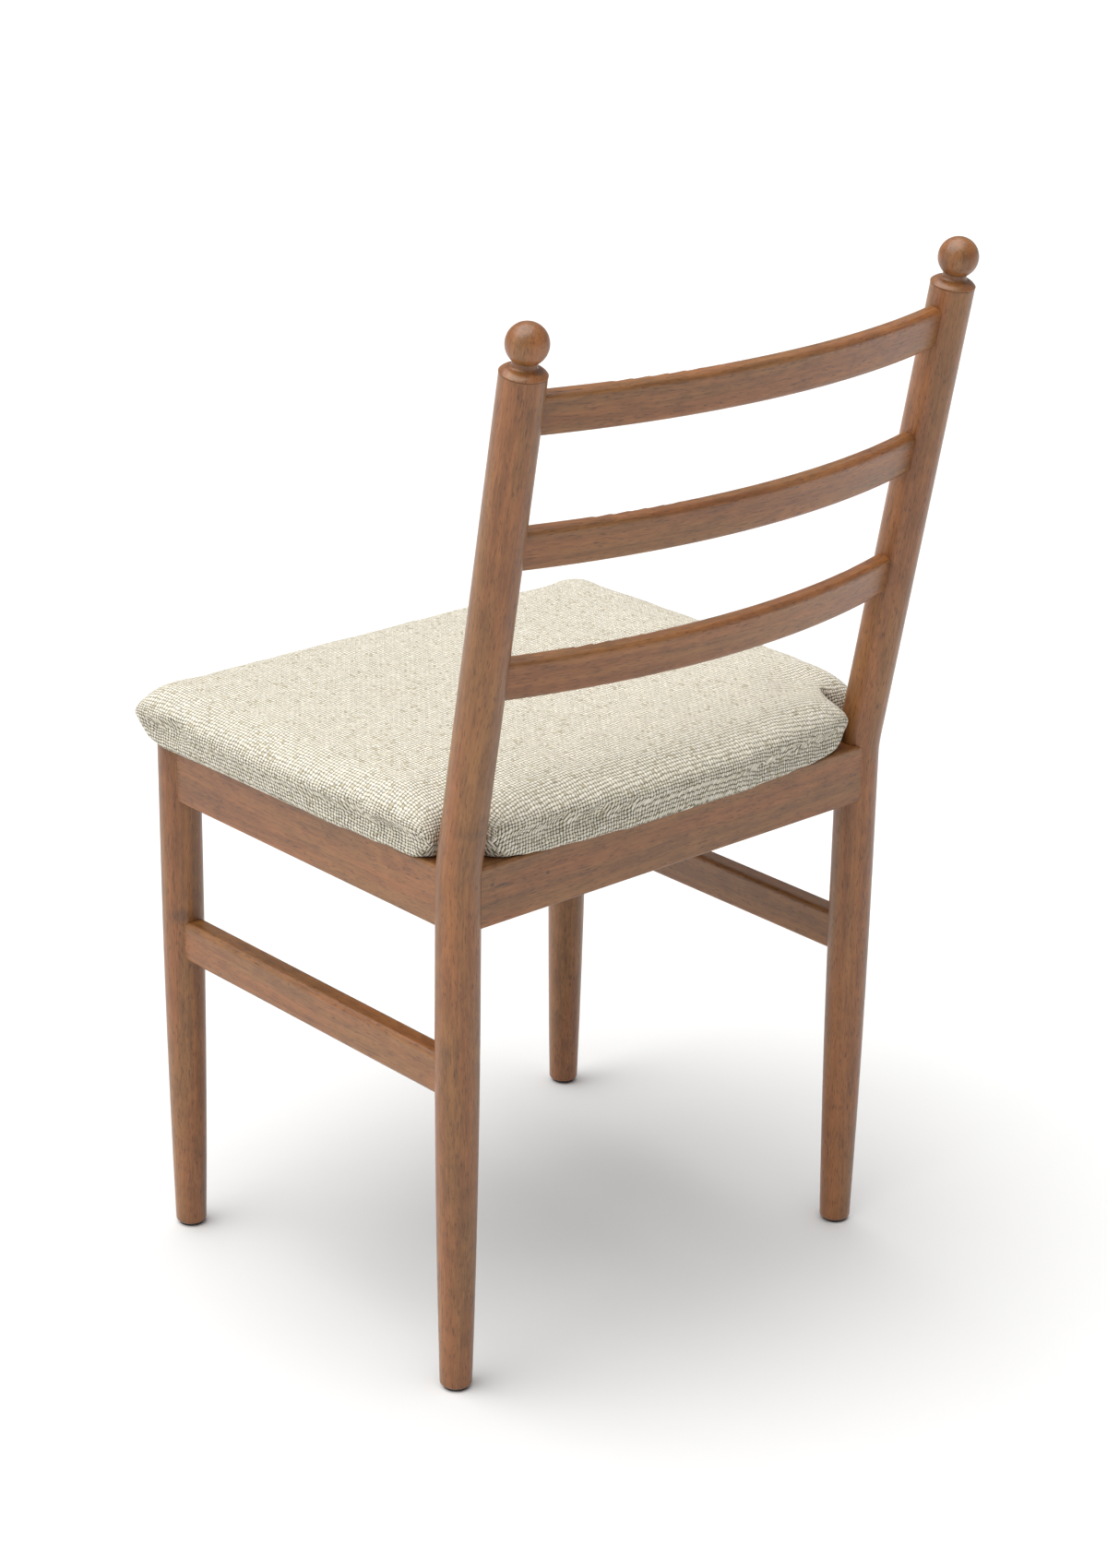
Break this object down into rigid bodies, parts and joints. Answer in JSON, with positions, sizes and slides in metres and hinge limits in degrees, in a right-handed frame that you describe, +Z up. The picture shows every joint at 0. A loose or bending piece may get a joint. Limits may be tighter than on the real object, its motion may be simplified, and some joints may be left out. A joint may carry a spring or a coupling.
{
  "type": "ladderback chair",
  "caption": "Wooden ladderback dining chair with round tapered legs, raked posts with ball finials, curved back slats, side stretchers and an upholstered seat.",
  "frame": {"origin": "on the floor under the middle of the chair's overall width and depth", "axes": "+Z up from the floor, -Y the way the sitter faces, +X the sitter's left"},
  "size_m": [0.49, 0.4751, 0.85],
  "materials": {
    "stained_hardwood": "satin brown stain",
    "raw_hardwood": "unfinished, planed",
    "plywood": "unfinished plywood",
    "foam": "open-cell foam",
    "seat_fabric": "coarse woven cream cloth",
    "dust_cloth": "thin non-woven cloth",
    "screw_steel": "zinc plated",
    "glide_plastic": "dark brown moulded"
  },
  "bodies": {
    "root": {"back_leg_left": "stained_hardwood", "back_leg_right": "stained_hardwood", "finial_left": "stained_hardwood", "finial_right": "stained_hardwood", "front_leg_left": "stained_hardwood", "front_leg_right": "stained_hardwood", "back_rail": "stained_hardwood", "front_rail": "stained_hardwood", "side_rail_left": "stained_hardwood", "side_rail_right": "stained_hardwood", "side_stretcher_left": "stained_hardwood", "side_stretcher_right": "stained_hardwood", "slat_top": "stained_hardwood", "slat_middle": "stained_hardwood", "slat_bottom": "stained_hardwood", "corner_block_back_left": "raw_hardwood", "corner_block_back_right": "raw_hardwood", "corner_block_front_left": "raw_hardwood", "corner_block_front_right": "raw_hardwood", "corner_block_screws": "screw_steel", "seat_screws": "screw_steel", "seat_board": "plywood", "seat_foam": "foam", "seat_cover": "seat_fabric", "dust_cover": "dust_cloth", "foot_glide_back_left": "glide_plastic", "foot_glide_back_right": "glide_plastic", "foot_glide_front_left": "glide_plastic", "foot_glide_front_right": "glide_plastic"}
  },
  "joints": []
}
